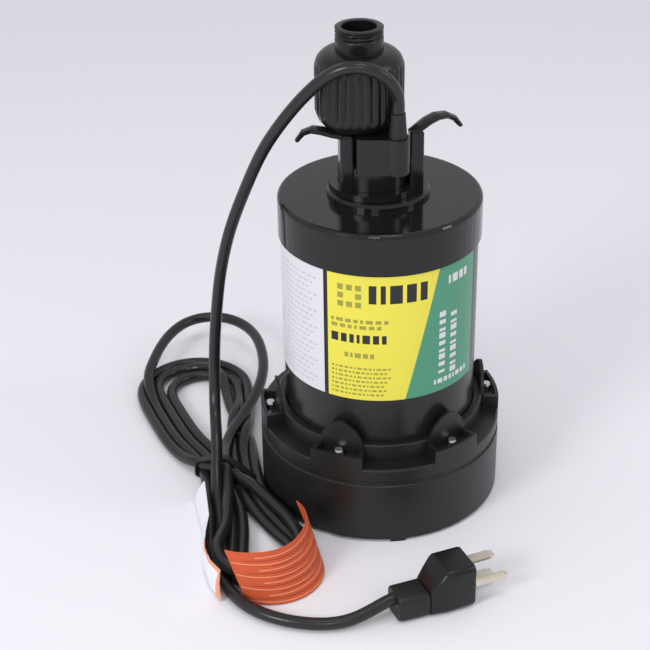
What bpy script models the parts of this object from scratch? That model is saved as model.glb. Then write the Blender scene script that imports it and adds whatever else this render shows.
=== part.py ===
"""Submersible sump pump with its 3 m mains lead, modelled in metres, +Z up.

The origin is on the floor under the middle of the base.  -Y is the front (the side with
the labels), +X is to the right of somebody who reads them.
"""
from math import cos, pi, radians, sin

import bmesh
import bpy
from mathutils import Matrix, Vector

GAP = 0.0003                     # left between touching pieces

# Base
FOOT_HEIGHT = 0.002
BASE_RADIUS = 0.0715
BASE_WALL = 0.0028
LEDGE_TOP = 0.0498               # top of the outer wall between the lugs
SEAT_RADIUS = 0.0610             # ring that the shell stands in
SEAT_TOP = 0.0600
FOOT_FIRST = 9.0                 # degrees from the front, towards +X
LUG_COUNT = 6
LUG_FIRST = -20.5                # degrees from the front, towards +X
LUG_HALF_WIDTH = 12.8            # degrees
LUG_SHOULDER = 0.0580
LUG_PEAK = 0.0745
LUG_INNER_RADIUS = 0.0606
POCKET_FLOOR = 0.0540            # of the well that the screw's head sits in
SCREW_CIRCLE = 0.0657
SLOT_COUNT = 12
SLOT_HALF_WIDTH = 7.0            # degrees

# Shell, labels and cap
SHELL_RADIUS = 0.0560
SHELL_WALL = 0.0026
SHELL_BOTTOM = 0.0478
SHELL_TOP = 0.1860
LABEL_BOTTOM = 0.0875
LABEL_TOP = 0.1658
LABEL_THICKNESS = 0.00025
CAP_RADIUS = 0.0578
CAP_BOTTOM = 0.1664
CAP_TOP = 0.1910
CAP_WALL = 0.0040

# Column on the cap, and the outlet, which stands left of the pump's axis
FLANGE_CENTRE = (-0.0009, 0.0)
FLANGE_RADIUS = 0.0290
FLANGE_TOP = 0.1945
TIER_CENTRE = (-0.0037, 0.0)
TIER_RADIUS = 0.0198
TIER_TOP = 0.2122
OUTLET = (-0.0113, 0.0)
NECK_RADIUS = 0.0120
STEM_RADIUS = 0.0190
STEM_BOTTOM = 0.2345
STEM_TOP = 0.2460
OUTLET_BORE = 0.0095
BOSS_MIN = (-0.0128, -0.0260, 0.2117)
BOSS_MAX = (0.0128, -0.0050, 0.2322)
GLAND_RADIUS = 0.0066            # round end of the boss, about the cord
LEAD_HOLE = (0.0085, -0.0105)    # where the motor's leads go down through the cap

# Hose adapter
ADAPTER_RADIUS = 0.0245
ADAPTER_BOTTOM = 0.2328
ADAPTER_SHOULDER = 0.2655
NIPPLE_RADIUS = 0.0132
NIPPLE_BOTTOM = 0.2745
NIPPLE_TOP = 0.2870
ADAPTER_BORE = 0.0199
RIB_COUNT = 30
RIB_DEPTH = 0.0009

# Handle
HANDLE_CENTRE = (-0.0013, 0.0)
HANDLE_TURN = 11.0               # degrees about the column
POST_TOP = 0.2312

# Motor and pump inside
SHAFT_RADIUS = 0.0060
CAN_RADIUS = 0.0460
CAN_TOP = 0.1620
DECK_BOTTOM = 0.0340
DECK_TOP = 0.0475
CHAMBER_RADIUS = 0.0450
IMPELLER_RADIUS = 0.0380

# Check valve
VALVE_HINGE = (-0.0113, 0.0142, 0.2521)

# Cord
CORD_RADIUS = 0.0035
CORD_EXIT = (0.0096, -0.0212, 0.2460)
CORD_STEP = 0.017                # between the points of a tube
HANK_TOP = 0.0270
NEAR_CENTRE = (-0.0655, -0.0955)
NEAR_RADIUS = 0.0200
SLEEVE_FOOT = (-0.0600, -0.1000, 0.0290)   # centre and radius at the floor
SLEEVE_RIM = (-0.0710, -0.0910, 0.0300)    # and at the top, as the sleeve leans back
SLEEVE_HEIGHT = 0.0290
PLUG_FACE = (0.0485, -0.1185, 0.0142)
PLUG_TURN = 25.0                 # degrees about Z

# Route of the cord where it isn't wound: over the adapter and down to the hank
DROP_ROUTE = [
    (0.0096, -0.0212, 0.2464), (0.0096, -0.0214, 0.2524), (0.0080, -0.0244, 0.2612),
    (0.0034, -0.0272, 0.2686), (-0.0040, -0.0284, 0.2734), (-0.0128, -0.0280, 0.2750),
    (-0.0225, -0.0264, 0.2722), (-0.0325, -0.0236, 0.2640), (-0.0430, -0.0190, 0.2518),
    (-0.0540, -0.0130, 0.2360), (-0.0650, -0.0050, 0.2165), (-0.0760, 0.0030, 0.1900),
    (-0.0865, 0.0090, 0.1610), (-0.0938, 0.0150, 0.1300), (-0.0980, 0.0195, 0.1000),
    (-0.1003, 0.0214, 0.0780), (-0.1013, 0.0208, 0.0590), (-0.1014, 0.0178, 0.0475),
    (-0.1011, 0.0118, 0.0383), (-0.1002, 0.0035, 0.0330), (-0.0985, -0.0065, 0.0311),
]
# Route from the near end of the hank to the plug
TAIL_ROUTE = [
    (-0.0915, -0.0985, 0.0039), (-0.0880, -0.1100, 0.0039), (-0.0825, -0.1215, 0.0039),
    (-0.0745, -0.1322, 0.0039), (-0.0630, -0.1408, 0.0039), (-0.0475, -0.1470, 0.0039),
    (-0.0291, -0.1492, 0.0040), (-0.0140, -0.1474, 0.0056), (-0.0010, -0.1416, 0.0100),
]

MATERIALS = {
    "black_plastic": ((0.012, 0.012, 0.013), 0.25, 0.0),
    "rubber": ((0.015, 0.015, 0.015), 0.7, 0.0),
    "steel": ((0.55, 0.55, 0.56), 0.3, 1.0),
    "brass": ((0.75, 0.56, 0.25), 0.3, 1.0),
    "copper": ((0.65, 0.28, 0.14), 0.4, 1.0),
    "label": ((0.85, 0.78, 0.10), 0.4, 0.0),
    "white_label": ((0.85, 0.85, 0.86), 0.4, 0.0),
    "orange_paper": ((0.90, 0.20, 0.06), 0.8, 0.0),
    "ceramic": ((0.85, 0.85, 0.82), 0.3, 0.0),
    "carbon": ((0.05, 0.05, 0.05), 0.5, 0.0),
}


# ---------------------------------------------------------------- helpers

def clear_scene():
    for old in list(bpy.data.objects):
        bpy.data.objects.remove(old)


def material(name):
    found = bpy.data.materials.get(name)
    if found:
        return found
    colour, roughness, metallic = MATERIALS[name]
    made = bpy.data.materials.new(name)
    made.use_nodes = True
    shader = made.node_tree.nodes["Principled BSDF"]
    shader.inputs["Base Color"].default_value = (*colour, 1.0)
    shader.inputs["Roughness"].default_value = roughness
    shader.inputs["Metallic"].default_value = metallic
    return made


def add_object(name, bm, finish, origin=(0.0, 0.0, 0.0)):
    """Turns a bmesh into a named object with its origin at the given place."""
    bmesh.ops.recalc_face_normals(bm, faces=bm.faces)
    bmesh.ops.translate(bm, vec=-Vector(origin), verts=bm.verts)
    mesh = bpy.data.meshes.new(name)
    bm.to_mesh(mesh)
    bm.free()
    mesh.shade_smooth()
    mesh.set_sharp_from_angle(angle=radians(35))
    mesh.materials.append(material(finish))
    made = bpy.data.objects.new(name, mesh)
    made.location = origin
    bpy.context.collection.objects.link(made)
    return made


def join_rings(bm, rings, closed):
    """Bridges rings of vertices; a ring of one vertex is a pole."""
    pairs = list(zip(rings, rings[1:]))
    if closed:
        pairs.append((rings[-1], rings[0]))
    for lower, upper in pairs:
        count = max(len(lower), len(upper))
        if count == 1:
            continue
        for i in range(count):
            j = (i + 1) % count
            if len(lower) == 1:
                bm.faces.new((lower[0], upper[j], upper[i]))
            elif len(upper) == 1:
                bm.faces.new((lower[i], lower[j], upper[0]))
            else:
                bm.faces.new((lower[i], lower[j], upper[j], upper[i]))


def turned(profile, segments=40, centre=(0.0, 0.0), radius_at=None, start=0.0):
    """A solid of revolution from a closed (radius, z) profile about a vertical axis.

    A profile that touches the axis starts and ends there.  radius_at(radius, z, angle)
    can vary the radius round the axis, and start is the angle of the first corner.
    """
    bm = bmesh.new()
    rings = []
    for radius, z in profile:
        if radius == 0.0:
            rings.append([bm.verts.new((centre[0], centre[1], z))])
            continue
        ring = []
        for i in range(segments):
            angle = start + 2 * pi * i / segments
            r = radius_at(radius, z, angle) if radius_at else radius
            ring.append(bm.verts.new((centre[0] + r * cos(angle), centre[1] + r * sin(angle), z)))
        rings.append(ring)
    on_axis = profile[0][0] == 0.0
    join_rings(bm, rings, closed=not on_axis)
    return bm


def tube_profile(inner, outer, bottom, top):
    return [(inner, bottom), (outer, bottom), (outer, top), (inner, top)]


def disc_profile(radius, bottom, top):
    return [(0.0, bottom), (radius, bottom), (radius, top), (0.0, top)]


def arc(centre, radius, start, end, steps):
    """Points on an arc in a (radius, z) or (x, y) plane, angles in degrees."""
    points = []
    for i in range(steps + 1):
        a = radians(start + (end - start) * i / steps)
        points.append((centre[0] + radius * cos(a), centre[1] + radius * sin(a)))
    return points


def prism(outline, bottom, top):
    """A vertical prism over a closed (x, y) outline."""
    bm = bmesh.new()
    lower = [bm.verts.new((x, y, bottom)) for x, y in outline]
    upper = [bm.verts.new((x, y, top)) for x, y in outline]
    join_rings(bm, [lower, upper], closed=False)
    bm.faces.new(lower)
    bm.faces.new(upper)
    return bm


def block(low, high):
    outline = [(low[0], low[1]), (high[0], low[1]), (high[0], high[1]), (low[0], high[1])]
    return prism(outline, low[2], high[2])


def rounded_box(low, high, corner, steps=4):
    """A vertical box with rounded upright edges."""
    outline = []
    corners = [(high[0] - corner, high[1] - corner, 0), (low[0] + corner, high[1] - corner, 90),
               (low[0] + corner, low[1] + corner, 180), (high[0] - corner, low[1] + corner, 270)]
    for x, y, start in corners:
        outline += arc((x, y), corner, start, start + 90, steps)
    return prism(outline, low[2], high[2])


def loft(sections):
    """A closed solid through equal rings of points, capped at both ends."""
    bm = bmesh.new()
    rings = [[bm.verts.new(point) for point in section] for section in sections]
    join_rings(bm, rings, closed=False)
    bm.faces.new(rings[0])
    bm.faces.new(rings[-1])
    return bm


def combine(target, tools, operation):
    """Applies booleans with each tool bmesh to the target object."""
    for tool_bm in tools:
        tool = add_object("tool", tool_bm, "steel")
        step = target.modifiers.new("combine", "BOOLEAN")
        step.operation = operation
        step.solver = "EXACT"
        step.object = tool
        bpy.context.view_layer.update()
        graph = bpy.context.evaluated_depsgraph_get()
        result = bpy.data.meshes.new_from_object(target.evaluated_get(graph))
        target.modifiers.clear()
        target.data = result
        bpy.data.objects.remove(tool)
    target.data.set_sharp_from_angle(angle=radians(35))
    return target


def polar(radius, degrees_from_front, z=None):
    """A point at an angle from the front (-Y) towards +X."""
    a = radians(degrees_from_front - 90)
    place = (radius * cos(a), radius * sin(a))
    return place if z is None else (*place, z)


def smooth_route(route, step):
    """Points at about equal steps along a Catmull-Rom curve through the route."""
    points = [Vector(p) for p in route]
    points = [2 * points[0] - points[1]] + points + [2 * points[-1] - points[-2]]
    dense = []
    for a, b, c, d in zip(points, points[1:], points[2:], points[3:]):
        for i in range(24):
            t = i / 24
            dense.append(0.5 * (2 * b + (c - a) * t + (2 * a - 5 * b + 4 * c - d) * t ** 2
                                + (3 * b - a - 3 * c + d) * t ** 3))
    dense.append(points[-2])
    length = sum((q - p).length for p, q in zip(dense, dense[1:]))
    count = max(2, round(length / step))
    kept, travelled = [], 0.0
    for p, q in zip(dense, dense[1:]):
        travelled += (q - p).length
        if travelled >= length / count * (len(kept) + 1) and len(kept) < count - 1:
            kept.append(q)
    # a short first and last step keep both end faces square to the curve
    return [dense[0], dense[3]] + kept + [dense[-4], dense[-1]]


def cord_tube(name, route, radius, finish, step=CORD_STEP, sides=2):
    """A round cord along a smooth route, as a curve with a bevel and filled caps."""
    curve = bpy.data.curves.new(name, "CURVE")
    curve.dimensions = "3D"
    curve.bevel_depth = radius
    curve.bevel_resolution = sides
    curve.render_resolution_u = 0
    curve.use_fill_caps = True
    points = smooth_route(route, step)
    spline = curve.splines.new("POLY")
    spline.points.add(len(points) - 1)
    for slot, point in zip(spline.points, points):
        slot.co = (*point, 1.0)
    curve.materials.append(material(finish))
    made = bpy.data.objects.new(name, curve)
    bpy.context.collection.objects.link(made)
    return made


# ---------------------------------------------------------------- base

def leaf_plate(centre_angle):
    """The inner wall of a lug, which rises to a point beside the shell."""
    low, rise = LEDGE_TOP - 0.002, LUG_PEAK - LUG_SHOULDER
    levels = [(low, 1.0), (LUG_SHOULDER, 1.0), (LUG_SHOULDER + 0.35 * rise, 0.90),
              (LUG_SHOULDER + 0.65 * rise, 0.68), (LUG_SHOULDER + 0.88 * rise, 0.38), (LUG_PEAK, 0.08)]
    sections = []
    for z, width in levels:
        half = (LUG_HALF_WIDTH - 0.2) * width
        angles = [centre_angle + half * (2 * i / 6 - 1) for i in range(7)]
        section = [polar(LUG_INNER_RADIUS + 0.0021, a, z) for a in angles]
        section += [polar(LUG_INNER_RADIUS, a, z) for a in reversed(angles)]
        sections.append(section)
    return loft(sections)


def ring_sector(inner, outer, centre_angle, half, bottom, top):
    """A block between two radii and two angles."""
    angles = [centre_angle + half * (2 * i / 6 - 1) for i in range(7)]
    outline = [polar(outer, a) for a in angles] + [polar(inner, a) for a in reversed(angles)]
    return prism(outline, bottom, top)


def lug_angles():
    return [LUG_FIRST + 360 / LUG_COUNT * i for i in range(LUG_COUNT)]


def make_base_strainer():
    groove = 0.0010
    outer = BASE_RADIUS
    profile = [
        (outer - BASE_WALL, FOOT_HEIGHT), (outer, FOOT_HEIGHT), (outer, 0.0385), (outer - groove, 0.0392),
        (outer - groove, 0.0412), (outer - 0.0002, 0.0422), (outer - 0.0002, LEDGE_TOP - 0.001),
        (outer - 0.0012, LEDGE_TOP), (SEAT_RADIUS, LEDGE_TOP), (SEAT_RADIUS, SEAT_TOP - 0.0008),
        (SEAT_RADIUS - 0.0008, SEAT_TOP), (SHELL_RADIUS + 0.0006, SEAT_TOP),
        (SHELL_RADIUS + 0.0006, LEDGE_TOP - 0.003), (outer - BASE_WALL, LEDGE_TOP - 0.003),
    ]
    base = add_object("base_strainer", turned(profile, 60), "black_plastic")
    outside = BASE_RADIUS - 0.0002
    lugs = []
    pockets = []
    for angle in lug_angles():
        lugs.append(leaf_plate(angle))
        lugs.append(ring_sector(LUG_INNER_RADIUS + 0.0008, outside, angle, LUG_HALF_WIDTH,
                                LEDGE_TOP - 0.0026, LUG_SHOULDER - 0.0005))
        pockets.append(ring_sector(LUG_INNER_RADIUS + 0.0019, outside - 0.0020, angle,
                                   LUG_HALF_WIDTH - 2.2, POCKET_FLOOR, LUG_PEAK + 0.001))
        pockets.append(turned(disc_profile(0.0021, 0.0400, 0.0600), 8, polar(SCREW_CIRCLE, angle)))
    combine(base, lugs, "UNION")
    combine(base, pockets, "DIFFERENCE")
    feet = []
    for i in range(3):
        angle = FOOT_FIRST + 120 * i
        sections = []
        for z, spread in ((0.0, 3.4), (FOOT_HEIGHT + 0.001, 4.0)):
            angles = [angle + spread * (2 * k / 4 - 1) for k in range(5)]
            section = [polar(outer - 0.0002, a, z) for a in angles]
            section += [polar(outer - BASE_WALL + 0.0002, a, z) for a in reversed(angles)]
            sections.append(section)
        feet.append(loft(sections))
    combine(base, feet, "UNION")


def pan_screw(name, place, head_bottom, head_radius, head_height, shank_radius, shank_length):
    crown = head_height * 0.35
    profile = [
        (0.0, head_bottom - shank_length), (shank_radius, head_bottom - shank_length),
        (shank_radius, head_bottom), (head_radius, head_bottom),
        (head_radius, head_bottom + head_height - crown),
        (head_radius * 0.8, head_bottom + head_height), (0.0, head_bottom + head_height),
    ]
    add_object(name, turned(profile, 12, place[:2]), "steel", (place[0], place[1], head_bottom))


def make_base_screws():
    for i, angle in enumerate(lug_angles()):
        centre = polar(SCREW_CIRCLE, angle)
        pan_screw(f"base_screw_{i + 1}", centre, 0.0543, 0.0028, 0.0040, 0.0015, 0.0145)


def make_intake_screen():
    """A round screen under the base, with radial slots and a stiff rim."""
    screen = add_object("intake_screen", turned([
        (0.0, 0.0042), (0.0680, 0.0042), (0.0680, 0.0096), (0.0655, 0.0096), (0.0655, 0.0064),
        (0.0, 0.0064)], 40), "black_plastic")
    slots = []
    for i in range(SLOT_COUNT):
        angle = 360 / SLOT_COUNT * i
        outline = [polar(0.020, angle - SLOT_HALF_WIDTH), polar(0.020, angle + SLOT_HALF_WIDTH),
                   polar(0.052, angle + SLOT_HALF_WIDTH), polar(0.052, angle - SLOT_HALF_WIDTH)]
        slots.append(prism(outline, 0.0030, 0.0080))
    combine(screen, slots, "DIFFERENCE")


def make_suction_cover():
    add_object("suction_cover", turned([
        (0.0150, 0.0100), (0.0640, 0.0100), (0.0640, 0.0137), (0.0130, 0.0137)], 40), "black_plastic")


def make_volute_housing():
    """The impeller's chamber, with a screw flange round it and the motor's deck on top."""
    housing = add_object("volute_housing", turned([
        (CHAMBER_RADIUS, 0.0140), (0.0640, 0.0140), (0.0640, 0.0385), (0.0683, 0.0385),
        (0.0683, 0.0465), (SHELL_RADIUS, 0.0465), (SHELL_RADIUS, DECK_TOP), (0.0074, DECK_TOP),
        (0.0074, 0.0400), (0.0110, 0.0400), (0.0110, DECK_BOTTOM), (CHAMBER_RADIUS, DECK_BOTTOM)],
        40), "black_plastic")
    cuts = [turned(disc_profile(0.0019, 0.0300, 0.0500), 8, polar(SCREW_CIRCLE, angle))
            for angle in lug_angles()]
    for i in range(4):
        centre = 90 * i
        angles = [centre + 22 * (2 * k / 4 - 1) for k in range(5)]
        riser = [polar(0.0520, a) for a in angles] + [polar(0.0474, a) for a in reversed(angles)]
        cuts.append(prism(riser, 0.0300, 0.0500))
        mouth = [polar(0.0520, a) for a in angles] + [polar(0.0430, a) for a in reversed(angles)]
        cuts.append(prism(mouth, 0.0200, 0.0310))
    combine(housing, cuts, "DIFFERENCE")


# ---------------------------------------------------------------- shell and cap

def make_outer_shell():
    inner = SHELL_RADIUS - SHELL_WALL
    add_object("outer_shell", turned(tube_profile(inner, SHELL_RADIUS, SHELL_BOTTOM, SHELL_TOP), 60),
               "black_plastic")


def label_skin(name, start, end, finish):
    """A label on the shell between two angles from the front."""
    inner = SHELL_RADIUS + GAP
    outer = inner + LABEL_THICKNESS
    steps = round((end - start) / 6)
    angles = [start + (end - start) * i / steps for i in range(steps + 1)]
    outline = [polar(outer, a) for a in angles] + [polar(inner, a) for a in reversed(angles)]
    add_object(name, prism(outline, LABEL_BOTTOM, LABEL_TOP), finish)


def make_labels():
    label_skin("label_main", -30.3, 67.0, "label")
    label_skin("label_spec", -128.0, -33.0, "white_label")


def neck_profile():
    return [
        (0.0, 0.1872), (NECK_RADIUS, 0.1872), (NECK_RADIUS, 0.2290), (STEM_RADIUS, STEM_BOTTOM),
        (STEM_RADIUS, STEM_TOP), (0.0, STEM_TOP)]


def boss_outline():
    """A rounded block whose front right corner swells into the round gland about the cord."""
    corner = 0.0024
    right, left = BOSS_MAX[0] - corner, BOSS_MIN[0] + corner
    outline = arc((right, BOSS_MAX[1] - corner), corner, 0, 90, 4)
    outline += arc((left, BOSS_MAX[1] - corner), corner, 90, 180, 4)
    outline += arc((left, BOSS_MIN[1] + corner), corner, 180, 270, 4)
    outline += arc(CORD_EXIT[:2], GLAND_RADIUS, 227, 421, 14)
    return outline


def make_top_cap():
    """The cap, the stepped column with the outlet in it, and the boss that holds the cord."""
    edge = 0.0026
    inner = SHELL_RADIUS + GAP
    profile = [(0.0, CAP_TOP - CAP_WALL), (inner, CAP_TOP - CAP_WALL), (inner, CAP_BOTTOM),
               (CAP_RADIUS - 0.0014, CAP_BOTTOM), (CAP_RADIUS, CAP_BOTTOM + 0.0004)]
    profile += arc((CAP_RADIUS - edge, CAP_TOP - edge), edge, 0, 90, 4)
    profile += [(0.0, CAP_TOP)]
    cap = add_object("top_cap", turned(profile, 60), "black_plastic")
    flange = [(0.0, 0.1880), (FLANGE_RADIUS, 0.1880), (FLANGE_RADIUS, FLANGE_TOP - 0.0014),
              (FLANGE_RADIUS - 0.0014, FLANGE_TOP), (0.0, FLANGE_TOP)]
    tier = [(0.0, 0.1876), (TIER_RADIUS, 0.1876), (TIER_RADIUS, TIER_TOP - 0.0010),
            (TIER_RADIUS - 0.0010, TIER_TOP), (0.0, TIER_TOP)]
    column = [turned(flange, 44, FLANGE_CENTRE, start=0.02), turned(tier, 40, TIER_CENTRE, start=0.03),
              turned(neck_profile(), 36, OUTLET, start=0.04), prism(boss_outline(), BOSS_MIN[2], BOSS_MAX[2])]
    combine(cap, column, "UNION")
    exit_x, exit_y, _ = CORD_EXIT
    lead_way = block((exit_x - 0.0030, exit_y - 0.0028, 0.2137), (exit_x + 0.0030, -0.0073, 0.2180))
    combine(cap, [turned(disc_profile(OUTLET_BORE, 0.1700, 0.2600), 28, OUTLET, start=0.05),
                  turned(disc_profile(0.0030, 0.1700, 0.2160), 12, LEAD_HOLE),
                  lead_way,
                  turned(disc_profile(0.0055, 0.2170, 0.2400), 16, (exit_x, exit_y))], "DIFFERENCE")


def make_shell_seal():
    """A rubber ring between the shell's top edge and the cap."""
    add_object("shell_seal", turned(tube_profile(0.0530, SHELL_RADIUS - 0.0002, SHELL_TOP + 0.0002,
                                                 CAP_TOP - CAP_WALL - 0.0002), 40), "rubber")


# ---------------------------------------------------------------- handle

def handle_frame():
    """Turns handle coordinates (along, across, up) into world ones."""
    return Matrix.Translation((*HANDLE_CENTRE, 0.0)) @ Matrix.Rotation(radians(HANDLE_TURN), 4, "Z")


def horn_path(side):
    """Middle and half sizes (across, thick) down one strap, from its post to its tip."""
    if side < 0:
        spots = [(0.0165, 0.2288), (0.0210, 0.2296), (0.0262, 0.2303), (0.0315, 0.2314), (0.0368, 0.2316),
                 (0.0415, 0.2292), (0.0448, 0.2246)]
    else:
        spots = [(0.0165, 0.2288), (0.0210, 0.2312), (0.0262, 0.2336), (0.0318, 0.2350), (0.0374, 0.2344),
                 (0.0425, 0.2314), (0.0465, 0.2266)]
    across = [-0.0105, -0.0092, -0.0070, -0.0045, -0.0020, 0.0, 0.0010]
    widths = [0.0037, 0.0042, 0.0046, 0.0047, 0.0045, 0.0041, 0.0028]
    thick = [0.0021, 0.0020, 0.0019, 0.0019, 0.0019, 0.0018, 0.0013]
    return [(Vector((side * a, b, z)), w, t) for (a, z), b, w, t in zip(spots, across, widths, thick)]


def strap(path):
    """A flat tapered strap with round edges along a path."""
    sections = []
    for i, (point, half_width, half_thick) in enumerate(path):
        before = path[max(i - 1, 0)][0]
        after = path[min(i + 1, len(path) - 1)][0]
        along = (after - before).normalized()
        side = Vector((0.0, 0.0, 1.0)).cross(along).normalized()
        normal = along.cross(side)
        ring = []
        for k in range(10):
            a = 2 * pi * k / 10
            ring.append(point + side * half_width * cos(a) + normal * half_thick * sin(a))
        sections.append(ring)
    return loft(sections)


def post(side):
    """The upright that a strap springs from, with a rounded top."""
    along, across, half_along, half_across = side * 0.0193, -0.0105, 0.0040, 0.0038
    sections = []
    for z, inset in ((FLANGE_TOP + GAP, 0.0), (POST_TOP - 0.0022, 0.0), (POST_TOP - 0.0007, 0.0009),
                     (POST_TOP, 0.0024)):
        section = []
        for x, y, start in ((1, 1, 0), (-1, 1, 90), (-1, -1, 180), (1, -1, 270)):
            corner = 0.0014
            middle = (along + x * (half_along - inset - corner), across + y * (half_across - inset - corner))
            section += [(px, py, z) for px, py in arc(middle, corner, start, start + 90, 3)]
        sections.append(section)
    return loft(sections)


def make_handle():
    """A collar on the cap with two posts and the two straps that the lead is hung on."""
    turn = handle_frame()
    shift = Vector((TIER_CENTRE[0] - HANDLE_CENTRE[0], 0.0, 0.0))
    ring_middle = turn.to_3x3().inverted() @ shift
    ring = turned(tube_profile(TIER_RADIUS - 0.0020, 0.0252, FLANGE_TOP + GAP, 0.1985), 40, ring_middle[:2])
    handle = add_object("handle", ring, "black_plastic")
    combine(handle, [post(-1), post(1), strap(horn_path(-1)), strap(horn_path(1))], "UNION")
    clear_column = turned(disc_profile(TIER_RADIUS + GAP, 0.1900, TIER_TOP + GAP), 40, ring_middle[:2])
    combine(handle, [clear_column], "DIFFERENCE")
    handle.data.transform(turn)
    neck, stem, low, high = NECK_RADIUS + GAP, STEM_RADIUS + GAP, 0.2040, 0.2360
    clear_neck = turned([(0.0, low), (neck, low), (neck, 0.2286), (stem, STEM_BOTTOM - 0.0004), (stem, high),
                         (0.0, high)], 36, OUTLET, start=0.04)
    combine(handle, [clear_neck], "DIFFERENCE")
    for i, degrees in enumerate((100, 188)):
        spot = polar(0.0227, degrees)
        place = (spot[0] + TIER_CENTRE[0], spot[1])
        combine(handle, [turned(disc_profile(0.0013, 0.1900, 0.2100), 8, place)], "DIFFERENCE")
        pan_screw(f"handle_screw_{i + 1}", place, 0.1988, 0.0024, 0.0016, 0.0010, 0.0036)


# ---------------------------------------------------------------- adapter and valve

def rib_radius(radius, z, angle):
    """Vertical finger ribs on the widest part of the adapter."""
    if radius < ADAPTER_RADIUS - 0.0001:
        return radius
    phase = (angle * RIB_COUNT / (2 * pi)) % 1.0
    return radius if phase < 0.49 else radius - RIB_DEPTH


def make_hose_adapter():
    dome = [(NIPPLE_RADIUS + (ADAPTER_RADIUS - NIPPLE_RADIUS) * cos(radians(a)),
             ADAPTER_SHOULDER + (NIPPLE_BOTTOM - ADAPTER_SHOULDER) * sin(radians(a)))
            for a in (8, 26, 45, 66, 90)]
    threads = []
    for i in range(2):
        z = 0.2812 + 0.0026 * i
        root = NIPPLE_RADIUS - 0.0010
        threads += [(root, z), (NIPPLE_RADIUS, z + 0.0008), (root, z + 0.0017)]
    profile = [(ADAPTER_BORE, ADAPTER_BOTTOM + 0.0003), (0.0203, ADAPTER_BOTTOM),
               (0.0226, ADAPTER_BOTTOM + 0.0028),
               (0.0240, ADAPTER_BOTTOM + 0.0058), (ADAPTER_RADIUS, ADAPTER_BOTTOM + 0.0080),
               (ADAPTER_RADIUS, ADAPTER_SHOULDER)]
    profile += dome + threads
    profile += [(NIPPLE_RADIUS - 0.0010, NIPPLE_TOP), (OUTLET_BORE, NIPPLE_TOP), (OUTLET_BORE, 0.2722),
                (0.0185, 0.2650), (ADAPTER_BORE, 0.2630)]
    add_object("hose_adapter", turned(profile, RIB_COUNT * 4, OUTLET, rib_radius), "black_plastic",
               (*OUTLET, ADAPTER_BOTTOM))


def pin_along_x(radius, x0, x1, centre, segments=12):
    """A round bar along X through a (y, z) centre."""
    sections = []
    for x in (x0, x1):
        sections.append([(x, centre[0] + radius * cos(2 * pi * k / segments),
                          centre[1] + radius * sin(2 * pi * k / segments)) for k in range(segments)])
    return loft(sections)


def make_check_valve():
    hinge_x, hinge_y, hinge_z = VALVE_HINGE
    seat = add_object("valve_seat", turned(
        tube_profile(OUTLET_BORE, 0.0190, STEM_TOP + GAP, 0.2490), 32, OUTLET), "rubber")
    ears = []
    for side in (-1, 1):
        x = hinge_x + side * 0.0062
        ears.append(block((x - 0.0011, hinge_y - 0.0018, 0.2480), (x + 0.0011, hinge_y + 0.0018, 0.2542)))
    combine(seat, ears, "UNION")
    combine(seat, [pin_along_x(0.00115, hinge_x - 0.0090, hinge_x + 0.0090, (hinge_y, hinge_z))],
            "DIFFERENCE")
    add_object("valve_pin", pin_along_x(0.0008, hinge_x - 0.0076, hinge_x + 0.0076, (hinge_y, hinge_z)),
               "steel", VALVE_HINGE)
    flapper = add_object("check_flapper", turned(disc_profile(0.0112, 0.2494, 0.2508), 28, OUTLET), "rubber",
                         VALVE_HINGE)
    arm = block((hinge_x - 0.0040, 0.0060, 0.2500), (hinge_x + 0.0040, hinge_y, 0.2518))
    knuckle = pin_along_x(0.0021, hinge_x - 0.0044, hinge_x + 0.0044, (hinge_y, hinge_z), 14)
    combine(flapper, [arm, knuckle], "UNION")
    combine(flapper, [pin_along_x(0.0012, hinge_x - 0.0060, hinge_x + 0.0060, (hinge_y, hinge_z))],
            "DIFFERENCE")


# ---------------------------------------------------------------- motor and pump

def ring_piece(name, inner, outer, bottom, top, finish, segments=28):
    return add_object(name, turned(tube_profile(inner, outer, bottom, top), segments), finish,
                      (0.0, 0.0, bottom))


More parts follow.
